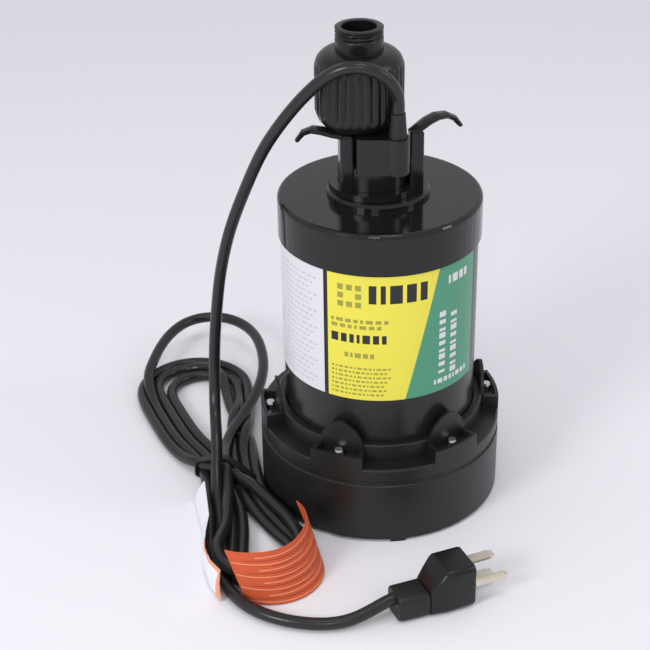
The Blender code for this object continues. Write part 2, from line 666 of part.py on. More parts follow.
def make_motor():
    can_inner = CAN_RADIUS - 0.0012
    can = add_object("motor_can", turned([
        (0.0, CAN_TOP - 0.0012), (can_inner, CAN_TOP - 0.0012), (can_inner, DECK_TOP + GAP),
        (CAN_RADIUS, DECK_TOP + GAP), (CAN_RADIUS, CAN_TOP - 0.003), (CAN_RADIUS - 0.003, CAN_TOP),
        (0.0, CAN_TOP)], 40), "steel")
    combine(can, [turned(disc_profile(0.0030, 0.1550, 0.1700), 12, LEAD_HOLE)], "DIFFERENCE")
    frame_outer = can_inner - GAP
    add_object("lower_end_plate", turned([
        (0.0070, DECK_TOP + GAP), (frame_outer, DECK_TOP + GAP), (frame_outer, 0.0520), (0.0170, 0.0520),
        (0.0170, 0.0610), (0.0133, 0.0610), (0.0133, 0.0520), (0.0070, 0.0520)], 32), "steel")
    add_object("upper_end_plate", turned([
        (0.0070, 0.1460), (0.0070, 0.1430), (0.0113, 0.1430), (0.0113, 0.1350), (0.0150, 0.1350),
        (0.0150, 0.1420), (frame_outer, 0.1420), (frame_outer, 0.1460)], 32), "steel")
    ring_piece("lower_bearing", SHAFT_RADIUS + GAP, 0.0130, 0.0523, 0.0603, "steel", 24)
    ring_piece("upper_bearing", SHAFT_RADIUS + GAP, 0.0110, 0.1353, 0.1427, "steel", 24)
    ring_piece("stator_core", 0.0240, frame_outer, 0.0770, 0.1170, "steel", 32)
    ring_piece("lower_winding", 0.0270, 0.0420, 0.0620, 0.0767, "copper", 28)
    ring_piece("upper_winding", 0.0270, 0.0420, 0.1173, 0.1320, "copper", 28)
    ring_piece("rotor_core", SHAFT_RADIUS + GAP, 0.0234, 0.0770, 0.1170, "steel", 28)
    add_object("motor_shaft", turned([
        (0.0, 0.0120), (0.0040, 0.0120), (0.0040, 0.0190), (SHAFT_RADIUS, 0.0190), (SHAFT_RADIUS, 0.1440),
        (0.0, 0.1440)], 20), "steel", (0.0, 0.0, 0.012))
    add_object("overload_protector", rounded_box((0.012, -0.006, 0.1463), (0.030, 0.006, 0.1530), 0.002, 2),
               "black_plastic")


def vane_outline(start_angle):
    """One backward-curved vane between the hub and the rim."""
    inner_radius, outer_radius, sweep, half = 0.0130, IMPELLER_RADIUS - 0.0005, 52, 2.6
    one_side, other_side = [], []
    for i in range(6):
        t = i / 5
        radius = inner_radius + (outer_radius - inner_radius) * t
        spread = half * inner_radius / radius
        one_side.append(polar(radius, start_angle - sweep * t - spread))
        other_side.append(polar(radius, start_angle - sweep * t + spread))
    return one_side + other_side[::-1]


def make_impeller():
    impeller = add_object("impeller", turned([
        (0.0043, 0.0180), (0.0110, 0.0180), (0.0110, 0.0222), (IMPELLER_RADIUS, 0.0222),
        (IMPELLER_RADIUS, 0.0242), (0.0110, 0.0242), (0.0110, 0.0260), (SHAFT_RADIUS + GAP, 0.0260),
        (SHAFT_RADIUS + GAP, 0.0187), (0.0043, 0.0187)], 32), "black_plastic", (0.0, 0.0, 0.018))
    vanes = [prism(vane_outline(60 * i), 0.0160, 0.0230) for i in range(6)]
    combine(impeller, vanes, "UNION")
    nut = [(0.0072 * cos(pi / 3 * i), 0.0072 * sin(pi / 3 * i)) for i in range(6)]
    nut_piece = add_object("impeller_nut", prism(nut, 0.0137, 0.0176), "steel", (0.0, 0.0, 0.0137))
    combine(nut_piece, [turned(disc_profile(0.0043, 0.0100, 0.0200), 12)], "DIFFERENCE")


def make_shaft_seal():
    """A ceramic seat in the deck, and the carbon ring on its bellows that turns under it."""
    ring_piece("seal_seat", 0.0066, 0.0107, DECK_BOTTOM + GAP, 0.0397, "ceramic", 24)
    ring_piece("seal_ring", SHAFT_RADIUS + GAP, 0.0100, 0.0296, DECK_BOTTOM, "carbon", 24)
    ring_piece("seal_bellows", SHAFT_RADIUS + GAP, 0.0090, 0.0263, 0.0293, "rubber", 24)


def make_motor_leads():
    """The wires from the cord to the motor, and the tube that keeps water off them."""
    conduit = tube_profile(0.0030, 0.0056, CAN_TOP + GAP, CAP_TOP - CAP_WALL - GAP)
    add_object("cord_conduit", turned(conduit, 16, LEAD_HOLE), "black_plastic", (*LEAD_HOLE, CAN_TOP))
    x, y = LEAD_HOLE
    route = [(CORD_EXIT[0], CORD_EXIT[1] + 0.0010, 0.2157), (0.0092, -0.0150, 0.2158),
             (0.0086, -0.0115, 0.2149), (x, y, 0.2116), (x, y, 0.2000), (x, y, 0.1640),
             (x + 0.0008, y + 0.0010, 0.1590),
             (x + 0.0040, y + 0.0045, 0.1562), (x + 0.0090, y + 0.0095, 0.1560)]
    cord_tube("motor_leads", route, 0.0013, "rubber", 0.003)


# ---------------------------------------------------------------- cord

def make_strain_relief():
    centre = CORD_EXIT[:2]
    bottom = 0.2173
    profile = [(0.0, bottom), (0.0051, bottom), (0.0051, 0.2325), (0.0048, 0.2350), (0.0044, 0.2395),
               (0.0040, CORD_EXIT[2]), (0.0, CORD_EXIT[2])]
    add_object("cord_strain_relief", turned(profile, 20, centre), "rubber", (*centre, bottom))


def hank_spine():
    """(x, y, half width) down the middle of the hank, far end first."""
    return [(-0.1170, 0.1300, 0.0380), (-0.1185, 0.1080, 0.0400), (-0.1190, 0.0850, 0.0400),
            (-0.1160, 0.0620, 0.0350), (-0.1100, 0.0380, 0.0275), (-0.1000, 0.0120, 0.0200),
            (-0.0925, -0.0120, 0.0165), (-0.0850, -0.0380, 0.0170), (-0.0770, -0.0620, 0.0190),
            (-0.0712, -0.0800, 0.0200), (*NEAR_CENTRE, NEAR_RADIUS)]


def hank_outline():
    """Both sides of the spine, closed by an arc round each end."""
    spine = hank_spine()
    left, right = [], []
    for before, (x, y, half), after in zip(spine, spine[1:], spine[2:]):
        along = Vector((after[0] - before[0], after[1] - before[1])).normalized()
        left.append((x + along.y * half, y - along.x * half))
        right.append((x - along.y * half, y + along.x * half))
    near_end = arc(NEAR_CENTRE, NEAR_RADIUS, -165, -10, 7)
    far_end = arc(spine[0][:2], spine[0][2], 8, 172, 8)
    return left + near_end + right[::-1] + far_end


def make_hank():
    add_object("cord_hank", prism(hank_outline(), 0.0004, HANK_TOP), "rubber")


def make_hank_tie():
    """A flat band over the hank's waist, open underneath."""
    middle, half, width, wall = Vector((-0.0925, -0.0120, 0.0)), 0.0182, 0.0040, 0.0008
    along = Vector((0.0145, -0.0500, 0.0)).normalized()
    across = Vector((-along.y, along.x, 0.0))
    low, high = GAP, HANK_TOP + GAP + wall
    outline = [(-half - wall, low), (-half - wall, high), (half + wall, high), (half + wall, low),
               (half, low), (half, high - wall), (-half, high - wall), (-half, low)]
    sections = []
    for step in (-width / 2, width / 2):
        sections.append([middle + along * step + across * a + Vector((0, 0, z)) for a, z in outline])
    add_object("hank_tie", loft(sections), "black_plastic")


def sleeve_point(up, degrees, out):
    """A point on the sleeve, with up going from 0 at the floor to 1 at the rim."""
    x, y, radius = (a + (b - a) * up for a, b in zip(SLEEVE_FOOT, SLEEVE_RIM))
    a = radians(degrees)
    return (x + (radius + out) * cos(a), y + (radius + out) * sin(a), 0.0005 + up * SLEEVE_HEIGHT)


def make_paper_sleeve():
    """A strip of paper stood on its edge round the near end of the hank."""
    steps, thickness = 16, 0.0006
    sections = []
    for i in range(steps + 1):
        section = []
        for out, up in ((0.0, 0.0), (thickness, 0.0), (thickness, 1.0), (0.0, 1.0)):
            degrees = -116 + (30 + 8 * up + 116) * i / steps
            section.append(sleeve_point(up, degrees, out))
        sections.append(section)
    add_object("paper_sleeve", loft(sections), "orange_paper")


def make_paper_flap():
    """The white end of the same paper, which leans on the left of the hank."""
    spots = [(-0.1190, -0.0280, 0.0085), (-0.1165, -0.0500, 0.0085), (-0.1125, -0.0720, 0.0080),
             (-0.1070, -0.0920, 0.0070), (-0.1005, -0.1080, 0.0060), (-0.0930, -0.1205, 0.0050)]
    thickness = 0.0005
    sections = []
    for x, y, lean in spots:
        sections.append([(x - thickness, y, 0.0005), (x, y, 0.0005), (x + lean, y + 0.0020, 0.0225),
                         (x + lean - thickness, y + 0.0020, 0.0225)])
    add_object("paper_flap", loft(sections), "white_label")


def plug_place(along, side, up=0.0):
    """World place from the middle of the plug's face: forward, towards the front, up."""
    a = radians(PLUG_TURN)
    return (PLUG_FACE[0] + along * cos(a) + side * sin(a),
            PLUG_FACE[1] + along * sin(a) - side * cos(a), PLUG_FACE[2] + up)


def plug_section(along, half_width, half_height, corner, up=0.0):
    section = []
    for side, rise, start in ((1, 1, 0), (-1, 1, 90), (-1, -1, 180), (1, -1, 270)):
        for a, b in arc((side * (half_width - corner), rise * (half_height - corner)), corner,
                        start, start + 90, 3):
            section.append(plug_place(along, a, up + b))
    return section


def make_plug():
    sections = [plug_section(0.0, 0.0104, 0.0126, 0.0030), plug_section(-0.0015, 0.0114, 0.0136, 0.0038),
                plug_section(-0.0180, 0.0116, 0.0136, 0.0040), plug_section(-0.0225, 0.0104, 0.0112, 0.0040),
                plug_section(-0.0262, 0.0082, 0.0080, 0.0040)]
    add_object("plug_body", loft(sections), "black_plastic")
    relief = [plug_section(-0.0265, 0.0080, 0.0078, 0.0040),
              plug_section(-0.0330, 0.0068, 0.0066, 0.0038, -0.0008),
              plug_section(-0.0395, 0.0050, 0.0050, 0.0030, -0.0020)]
    add_object("plug_strain_relief", loft(relief), "rubber")
    for name, up in (("plug_blade_upper", 0.00635), ("plug_blade_lower", -0.00635)):
        blade = []
        for along, inset in ((GAP, 0.0), (0.0150, 0.0), (0.0179, 0.0010)):
            half_width, half_thick = 0.00318 - inset, 0.00075 - inset * 0.3
            blade.append([plug_place(along, -0.0040 + a * half_width, up + b * half_thick)
                          for a, b in ((-1, -1), (1, -1), (1, 1), (-1, 1))])
        add_object(name, loft(blade), "brass")
    pin = []
    for along, radius in ((GAP, 0.0024), (0.0180, 0.0024), (0.0200, 0.0015)):
        pin.append([plug_place(along, 0.0079 + radius * cos(2 * pi * k / 10), radius * sin(2 * pi * k / 10))
                    for k in range(10)])
    add_object("plug_ground_pin", loft(pin), "brass")


def make_cord():
    cord_tube("cord_drop", DROP_ROUTE, CORD_RADIUS, "rubber")
    at_plug = [plug_place(-0.0470, 0.0, -0.0020), plug_place(-0.0399, 0.0, -0.0020)]
    cord_tube("cord_tail", TAIL_ROUTE + at_plug, CORD_RADIUS, "rubber")


def main():
    clear_scene()
    make_base_strainer()
    make_base_screws()
    make_intake_screen()
    make_suction_cover()
    make_volute_housing()
    make_outer_shell()
    make_labels()
    make_top_cap()
    make_shell_seal()
    make_handle()
    make_hose_adapter()
    make_check_valve()
    make_motor()
    make_impeller()
    make_shaft_seal()
    make_motor_leads()
    make_strain_relief()
    make_cord()
    make_hank()
    make_hank_tie()
    make_paper_sleeve()
    make_paper_flap()
    make_plug()


main()
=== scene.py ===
"""Looks of the submersible sump pump: its finished surfaces, its labels, its lead, and a plain studio."""
from math import cos, pi, radians, sin

import bmesh
import bpy
import numpy as np
from mathutils import Matrix, Vector


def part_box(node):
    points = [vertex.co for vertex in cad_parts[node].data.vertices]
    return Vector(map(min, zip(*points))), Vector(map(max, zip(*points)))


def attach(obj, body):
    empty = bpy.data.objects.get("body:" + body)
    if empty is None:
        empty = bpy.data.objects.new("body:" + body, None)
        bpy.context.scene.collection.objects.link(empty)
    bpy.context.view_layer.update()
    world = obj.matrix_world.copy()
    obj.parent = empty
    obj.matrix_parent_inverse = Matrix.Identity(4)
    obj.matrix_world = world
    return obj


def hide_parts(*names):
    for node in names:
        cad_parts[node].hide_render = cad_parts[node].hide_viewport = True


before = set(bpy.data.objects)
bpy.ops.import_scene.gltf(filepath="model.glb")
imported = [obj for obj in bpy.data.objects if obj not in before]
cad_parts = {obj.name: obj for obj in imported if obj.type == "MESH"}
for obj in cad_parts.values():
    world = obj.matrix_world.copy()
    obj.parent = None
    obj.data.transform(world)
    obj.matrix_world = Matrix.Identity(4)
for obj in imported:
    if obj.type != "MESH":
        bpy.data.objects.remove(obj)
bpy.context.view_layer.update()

# Sizes taken from the frame
SHELL_RADIUS = 0.0560
LABEL_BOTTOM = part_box("label_main")[0][2]
LABEL_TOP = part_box("label_main")[1][2]
BASE_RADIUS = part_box("base_strainer")[1][0]
ADAPTER_LOW, ADAPTER_HIGH = (Vector(corner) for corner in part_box("hose_adapter"))
OUTLET = (ADAPTER_LOW + ADAPTER_HIGH) / 2

# Adapter
ADAPTER_RADIUS = 0.0245
ADAPTER_SHOULDER = 0.2655
ADAPTER_BORE = 0.0199
ADAPTER_FOOT = [(0.0201, 0.0), (0.0226, 0.0029), (0.0238, 0.0059)]    # radius, height above the bottom
RIBS_START = 0.0081              # above the bottom
ROUNDING = 0.0006                # where the ribs run into the shoulder
NIPPLE_RADIUS = 0.0132
NIPPLE_BOTTOM = 0.2745
NIPPLE_BORE = 0.0095
NIPPLE_EDGE = 0.0008
THREAD_BOTTOM = 0.2800
THREAD_PITCH = 0.0022
THREAD_DEPTH = 0.0010
RIB_COUNT = 30
RIB_DEPTH = 0.0011

# Lead
CORD_RADIUS = 0.0035
FLOOR_REST = CORD_RADIUS + 0.0004
CORD_STEP = 0.006                # between the points that settle
TIGHTEST_BEND = 0.023
CORD_FINE = 0.0025               # between the points of the finished curve
CLEARANCE = 0.0003

# How the lead settles
SETTLE_ROUNDS = 220
STIFFNESS = 0.5
TETHER = 0.015                   # share of a sideways shift that is taken back in each round
FALL = 0.0002
PUSH = 0.45                      # share of an overlap that is cleared in each round
BEND_ROUNDS = 4
LAST_BEND_ROUNDS = 150
SMOOTH_ROUNDS = 16
HELD_POINTS = 5                  # at each end of the finished curve

# Tie round the waist of the hank
TIE_WIDTH = 0.0046
TIE_PLACE = Vector((-0.0925, -0.0120, 0.0))
TIE_TURN = -17.0                 # degrees about Z
TIE_REACH = 0.018                # strands further out or higher up than this lie over the tie

# Sleeve round the near end of the hank: centre and radius at the floor and at the rim
SLEEVE_FOOT = (-0.0600, -0.1000, 0.0290)
SLEEVE_RIM = (-0.0710, -0.0910, 0.0300)
SLEEVE_HEIGHT = 0.0290
PAPER_FOOT = 0.0008              # height of the paper's lower edge
SLEEVE_LINES = 15

# Camera
EYE = Vector((0.0, -0.8098, 0.5656))
PITCH = 0.5176                   # radians below level
YAW = -0.0395
ROLL = -0.0165
LENS = 87.9                      # mm, on a 36 mm sensor


# ---------------------------------------------------------------- studio

def make_camera():
    ahead = Vector((sin(YAW) * cos(PITCH), cos(YAW) * cos(PITCH), -sin(PITCH)))
    level = Vector((cos(YAW), -sin(YAW), 0.0))
    above = level.cross(ahead)
    right = cos(ROLL) * level + sin(ROLL) * above
    up = -sin(ROLL) * level + cos(ROLL) * above
    data = bpy.data.cameras.new("camera")
    data.lens = LENS
    data.sensor_width = 36.0
    camera = bpy.data.objects.new("camera", data)
    turn = Matrix((right, up, -ahead)).transposed().to_4x4()
    camera.matrix_world = Matrix.Translation(EYE) @ turn
    bpy.context.collection.objects.link(camera)
    bpy.context.scene.camera = camera


def area_light(name, place, target, size, power):
    data = bpy.data.lights.new(name, "AREA")
    data.shape = "RECTANGLE"
    data.size, data.size_y = size
    data.energy = power
    light = bpy.data.objects.new(name, data)
    light.location = place
    aim = Vector(target) - Vector(place)
    light.rotation_euler = aim.to_track_quat("-Z", "Y").to_euler()
    bpy.context.collection.objects.link(light)


def make_studio():
    floor_mesh = bpy.data.meshes.new("floor")
    half = 3.0
    corners = [(-half, -half, 0.0), (half, -half, 0.0), (half, half, 0.0), (-half, half, 0.0)]
    floor_mesh.from_pydata(corners, [], [(0, 1, 2, 3)])
    floor = bpy.data.objects.new("floor", floor_mesh)
    bpy.context.collection.objects.link(floor)
    floor_mesh.materials.append(surface("floor", (0.86, 0.85, 0.89), 0.8, grain=40, vary=0.01, bump=0.0))
    world = bpy.data.worlds.new("studio")
    world.use_nodes = True
    background = world.node_tree.nodes["Background"]
    background.inputs["Color"].default_value = (0.90, 0.90, 0.94, 1.0)
    background.inputs["Strength"].default_value = 0.74
    bpy.context.scene.world = world
    bpy.context.scene.view_settings.view_transform = "Standard"
    area_light("key", (-0.95, -1.10, 0.85), (0.0, 0.0, 0.1), (0.45, 0.45), 9.0)
    area_light("front strip", (-0.10, -1.6, 1.15), (0.0, 0.0, 0.15), (0.08, 0.7), 2.8)
    area_light("overhead", (0.06, -0.30, 1.60), (0.0, 0.0, 0.15), (0.55, 0.22), 2.6)
    area_light("right", (1.1, -0.2, 0.8), (0.0, 0.0, 0.12), (0.20, 0.6), 2.0)


# ---------------------------------------------------------------- materials

GRAINS_TO_A_PATCH = 18


def surface(name, colour, rough, metallic=0.0, grain=900.0, vary=0.12, bump=0.0002, stretch=1.0):
    """A material whose colour and roughness drift a little, with a fine grain in its relief."""
    made = bpy.data.materials.new(name)
    made.use_nodes = True
    nodes, links = made.node_tree.nodes, made.node_tree.links
    shader = nodes["Principled BSDF"]
    shader.inputs["Metallic"].default_value = metallic
    shader.inputs["Specular IOR Level"].default_value = 0.38
    place = nodes.new("ShaderNodeTexCoord")
    scale = nodes.new("ShaderNodeMapping")
    scale.inputs["Scale"].default_value = (1.0, 1.0, stretch)
    links.new(place.outputs["Object"], scale.inputs["Vector"])
    broad = nodes.new("ShaderNodeTexNoise")
    broad.inputs["Scale"].default_value = grain / GRAINS_TO_A_PATCH
    broad.inputs["Detail"].default_value = 3.0
    fine = nodes.new("ShaderNodeTexNoise")
    fine.inputs["Scale"].default_value = grain
    fine.inputs["Detail"].default_value = 4.0
    for noise in (broad, fine):
        links.new(scale.outputs["Vector"], noise.inputs["Vector"])
    tint = nodes.new("ShaderNodeMix")
    tint.data_type = "RGBA"
    tint.inputs["A"].default_value = (*[c * (1 - vary) for c in colour], 1.0)
    tint.inputs["B"].default_value = (*[min(1.0, c * (1 + vary)) for c in colour], 1.0)
    links.new(broad.outputs["Fac"], tint.inputs["Factor"])
    links.new(tint.outputs["Result"], shader.inputs["Base Color"])
    spread = nodes.new("ShaderNodeMapRange")
    spread.inputs["To Min"].default_value = rough * (1 - 2 * vary)
    spread.inputs["To Max"].default_value = rough * (1 + 2 * vary)
    links.new(fine.outputs["Fac"], spread.inputs["Value"])
    links.new(spread.outputs["Result"], shader.inputs["Roughness"])
    if bump:
        relief = nodes.new("ShaderNodeBump")
        relief.inputs["Distance"].default_value = bump
        relief.inputs["Strength"].default_value = 0.35
        links.new(fine.outputs["Fac"], relief.inputs["Height"])
        links.new(relief.outputs["Normal"], shader.inputs["Normal"])
    return made


def make_palette():
    """One material for each finish on the pump."""
    black = (0.0090, 0.0090, 0.0096)
    return {
        "gloss": surface("gloss_plastic", black, 0.13, grain=700, bump=0.00004),
        "shell": surface("shell_plastic", (0.0150, 0.0144, 0.0130), 0.24, grain=900, bump=0.00006),
        "base": surface("base_plastic", (0.0125, 0.0118, 0.0112), 0.36, grain=1200, bump=0.00010),
        "satin": surface("satin_plastic", (0.0060, 0.0060, 0.0062), 0.30, grain=1600, bump=0.00012),
        "moulded": surface("moulded_plastic", (0.012, 0.012, 0.013), 0.42, grain=1800, bump=0.00015),
        "jacket": surface("lead_jacket", (0.0175, 0.0160, 0.0160), 0.26, grain=1500, bump=0.00010),
        "rubber": surface("rubber", (0.014, 0.014, 0.014), 0.55, grain=1400, bump=0.00015),
        "steel": surface("bright_steel", (0.62, 0.62, 0.63), 0.22, 1.0, grain=2500, bump=0.00003),
        "drawn": surface("drawn_steel", (0.46, 0.46, 0.48), 0.34, 1.0, grain=1200, stretch=0.05),
        "laminated": surface("laminated_steel", (0.28, 0.28, 0.30), 0.5, 1.0, grain=900, stretch=9.0),
        "copper": surface("winding_copper", (0.55, 0.22, 0.09), 0.38, 1.0, grain=1300, stretch=7.0),
        "brass": surface("turned_brass", (0.72, 0.53, 0.24), 0.25, 1.0, grain=2200, bump=0.00003),
        "nickel": surface("nickelled_brass", (0.74, 0.68, 0.56), 0.22, 1.0, grain=2200, bump=0.00003),
        "ceramic": surface("ceramic", (0.80, 0.80, 0.76), 0.2, grain=1500, vary=0.03, bump=0.0),
        "carbon": surface("carbon", (0.03, 0.03, 0.03), 0.45, grain=2000),
        "yellow": surface("label_yellow", (0.80, 0.725, 0.075), 0.28, grain=600, vary=0.03, bump=0.00003),
        "green": surface("label_green", (0.075, 0.300, 0.180), 0.28, grain=600, vary=0.04, bump=0.00003),
        "white": surface("label_white", (0.70, 0.70, 0.73), 0.32, grain=600, vary=0.02, bump=0.00003),
        "ink": surface("label_ink", (0.02, 0.02, 0.02), 0.35, grain=600, vary=0.05, bump=0.0),
        "grey ink": surface("label_grey_ink", (0.52, 0.53, 0.57), 0.4, grain=600, vary=0.04, bump=0.0),
        "olive ink": surface("label_olive_ink", (0.34, 0.33, 0.05), 0.4, grain=600, vary=0.05, bump=0.0),
        "orange": surface("printed_orange", (0.60, 0.094, 0.028), 0.6, grain=500, vary=0.10, bump=0.0001),
        "pale orange": surface("printed_pale_orange", (0.86, 0.34, 0.18), 0.6, grain=500, vary=0.06),
        "dark orange": surface("printed_dark_orange", (0.36, 0.045, 0.02), 0.6, grain=500, vary=0.10),
        "paper": surface("white_paper", (0.80, 0.81, 0.87), 0.7, grain=500, vary=0.02, bump=0.0001),
    }


NODE_FINISHES = {
    "moulded": ["intake_screen", "suction_cover", "volute_housing", "impeller", "overload_protector",
                "cord_conduit"],
    "rubber": ["shell_seal", "valve_seat", "check_flapper", "seal_bellows", "motor_leads",
               "cord_strain_relief"],
    "steel": ["valve_pin", "motor_shaft", "lower_bearing", "upper_bearing", "handle_screw_1",
              "handle_screw_2", "base_screw_1", "base_screw_2", "base_screw_3", "base_screw_4",
              "base_screw_5", "base_screw_6"],
    "drawn": ["motor_can", "lower_end_plate", "upper_end_plate"],
    "laminated": ["stator_core", "rotor_core"],
    "copper": ["lower_winding", "upper_winding"],
    "brass": ["impeller_nut"],
    "nickel": ["plug_blade_upper", "plug_blade_lower", "plug_ground_pin"],
    "ceramic": ["seal_seat"],
    "carbon": ["seal_ring"],
}


def finish_nodes():
    for finish, names in NODE_FINISHES.items():
        for name in names:
            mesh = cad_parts[name].data
            mesh.materials.clear()
            mesh.materials.append(PALETTE[finish])


# ---------------------------------------------------------------- mesh helpers

CREASE = 35                       # degrees; sharper edges stay sharp in the shading


def add_piece(name, bm, finishes, node):
    """A piece that stands for a node and rides on the pump's body."""
    bmesh.ops.recalc_face_normals(bm, faces=bm.faces)
    mesh = bpy.data.meshes.new(name)
    bm.to_mesh(mesh)
    bm.free()
    for finish in finishes:
        mesh.materials.append(PALETTE[finish])
    mesh.shade_smooth()
    mesh.set_sharp_from_angle(angle=radians(CREASE))
    piece = bpy.data.objects.new(name, mesh)
    bpy.context.collection.objects.link(piece)
    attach(piece, "body")
    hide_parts(node)


def lathe(profile, centre, segments, radius_at=None):
    """A closed surface of revolution from a closed (radius, z) profile."""
    bm = bmesh.new()
    rings = []
    for radius, z in profile:
        ring = []
        for i in range(segments):
            a = 2 * pi * i / segments
            r = radius_at(radius, z, a) if radius_at else radius
            ring.append(bm.verts.new((centre[0] + r * cos(a), centre[1] + r * sin(a), z)))
        rings.append(ring)
    for lower, upper in zip(rings, rings[1:] + rings[:1]):
        for i in range(segments):
            j = (i + 1) % segments
            bm.faces.new((lower[i], lower[j], upper[j], upper[i]))
    return bm


def slab(bm, place, corners, inner, outer, slot, across=8, up=1):
    """A thin closed sheet between four (a, b) corners, bent to wherever place(a, b, out) puts it."""
    low_left, low_right, high_right, high_left = (Vector(corner) for corner in corners)
    layers = []
    for out in (inner, outer):
        grid = []
        for j in range(up + 1):
            left = low_left.lerp(high_left, j / up)
            right = low_right.lerp(high_right, j / up)
            spots = [left.lerp(right, i / across) for i in range(across + 1)]
            grid.append([bm.verts.new(place(a, b, out)) for a, b in spots])
        layers.append(grid)
    quads = []
    for grid in layers:
        for row, above in zip(grid, grid[1:]):
            quads += [(row[i], row[i + 1], above[i + 1], above[i]) for i in range(across)]
    back, front = layers
    for j in (0, up):
        low, high = back[j], front[j]
        quads += [(low[i], low[i + 1], high[i + 1], high[i]) for i in range(across)]
    for i in (0, across):
        quads += [(back[j][i], back[j + 1][i], front[j + 1][i], front[j][i]) for j in range(up)]
    for quad in quads:
        bm.faces.new(quad).material_index = slot


WIDEST_FACET = 11.0               # degrees; a face that turns by more is meant to be flat


def round_normal(corner, face, axes):
    """The normal at a face's corner: away from the axis that the face bends round, if there is one."""
    best, closest = face.normal, cos(radians(WIDEST_FACET / 2))
    if abs(face.normal.z) > 0.3:
        return best
    for x, y in axes:
        away = Vector((corner.x - x, corner.y - y, 0.0))
        if away.length < 1e-6:
            continue
        away.normalize()
        fit = away.dot(face.normal)
        if abs(fit) > closest:
            best, closest = (away if fit > 0 else -away), abs(fit)
    return best


def refine(node, finish, axes):
    """A copy of a node, shaded as the true cylinders that its facets stand for."""
    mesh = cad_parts[node].data.copy()
    mesh.name = node + "_fine"
    piece = bpy.data.objects.new(node + "_fine", mesh)
    bpy.context.collection.objects.link(piece)
    mesh.materials.clear()
    mesh.materials.append(PALETTE[finish])
    mesh.shade_smooth()
    mesh.set_sharp_from_angle(angle=radians(CREASE))
    normals = [Vector(corner.vector) for corner in mesh.corner_normals]
    for face in mesh.polygons:
        for loop in face.loop_indices:
            corner = mesh.vertices[mesh.loops[loop].vertex_index].co
            turned = round_normal(corner, face, axes)
            if turned is not face.normal and abs(face.normal.z) < 0.02:
                normals[loop] = turned
    mesh.normals_split_custom_set(normals)
    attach(piece, "body")
    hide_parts(node)


def make_housing():
    """The shell, base, cap and handle."""
    column = [(0.0, 0.0), (-0.0009, 0.0), (-0.0037, 0.0), (OUTLET.x, OUTLET.y), DROP_ROUTE[0][:2]]
    refine("outer_shell", "shell", column[:1])
    refine("base_strainer", "base", column[:1])
    refine("top_cap", "gloss", column)
    refine("handle", "gloss", column)


# ---------------------------------------------------------------- labels

SKIN = (0.0, 0.00022)             # a label's inner and outer face, above the shell
PRINT = (0.00020, 0.00025)
MAIN_FINISHES = ["yellow", "green", "ink", "olive ink", "white"]
YELLOW, GREEN, INK, OLIVE, WHITE = range(len(MAIN_FINISHES))
# The main label's sides and the slanting edge between its colours, in degrees from the front
MAIN_LEFT, MAIN_RIGHT = -30.3, 67.0
EDGE_LOW, EDGE_HIGH = 15.0, 35.3
# Lines of print: left, right, bottom, height, number of words, finish
MAIN_LINES = [
    (-6.0, 27.5, 0.1492, 0.0112, 5, INK), (-28.0, 5.0, 0.1366, 0.0022, 8, OLIVE),
    (-28.0, 1.0, 0.1330, 0.0022, 7, OLIVE), (-28.0, 4.0, 0.1240, 0.0054, 7, INK),
    (-20.0, -3.0, 0.1146, 0.0030, 5, OLIVE), (42.0, 58.0, 0.1545, 0.0050, 4, WHITE),
    (33.0, 60.0, 0.0925, 0.0030, 8, WHITE),
]
# Paragraphs: number of lines, left, right, change of right on odd lines, top line, number of words
MAIN_PARAGRAPHS = [(4, -28.0, 6.5, -2.0, 0.1072, 13), (3, -28.0, 2.5, 1.5, 0.0960, 12)]
PARAGRAPH_STEP = 0.0028
# Upright columns of words on the green field: left, right, top
GREEN_COLUMNS = [(36.0, 40.5, 0.1395), (44.5, 49.5, 0.1375)]


def on_shell(degrees, z, out):
    """A place on the shell at an angle from the front towards +X."""
    a = radians(degrees - 90)
    radius = SHELL_RADIUS + 0.0003 + out
    return radius * cos(a), radius * sin(a), z


def box_corners(left, right, bottom, top):
    return (left, bottom), (right, bottom), (right, top), (left, top)


def bar(bm, left, right, bottom, top, slot):
    slab(bm, on_shell, box_corners(left, right, bottom, top), *PRINT, slot, across=3)


def text_line(bm, left, right, bottom, height, words, slot):
    """A row of short bars in place of a line of words."""
    shares = [2 + (3 * i + words) % 4 for i in range(words)]
    space = 0.35 * (right - left) / words
    unit = (right - left - space * (words - 1)) / sum(shares)
    at = left
    for share in shares:
        end = at + share * unit
        bar(bm, at, end, bottom, bottom + height, slot)
        at = end + space


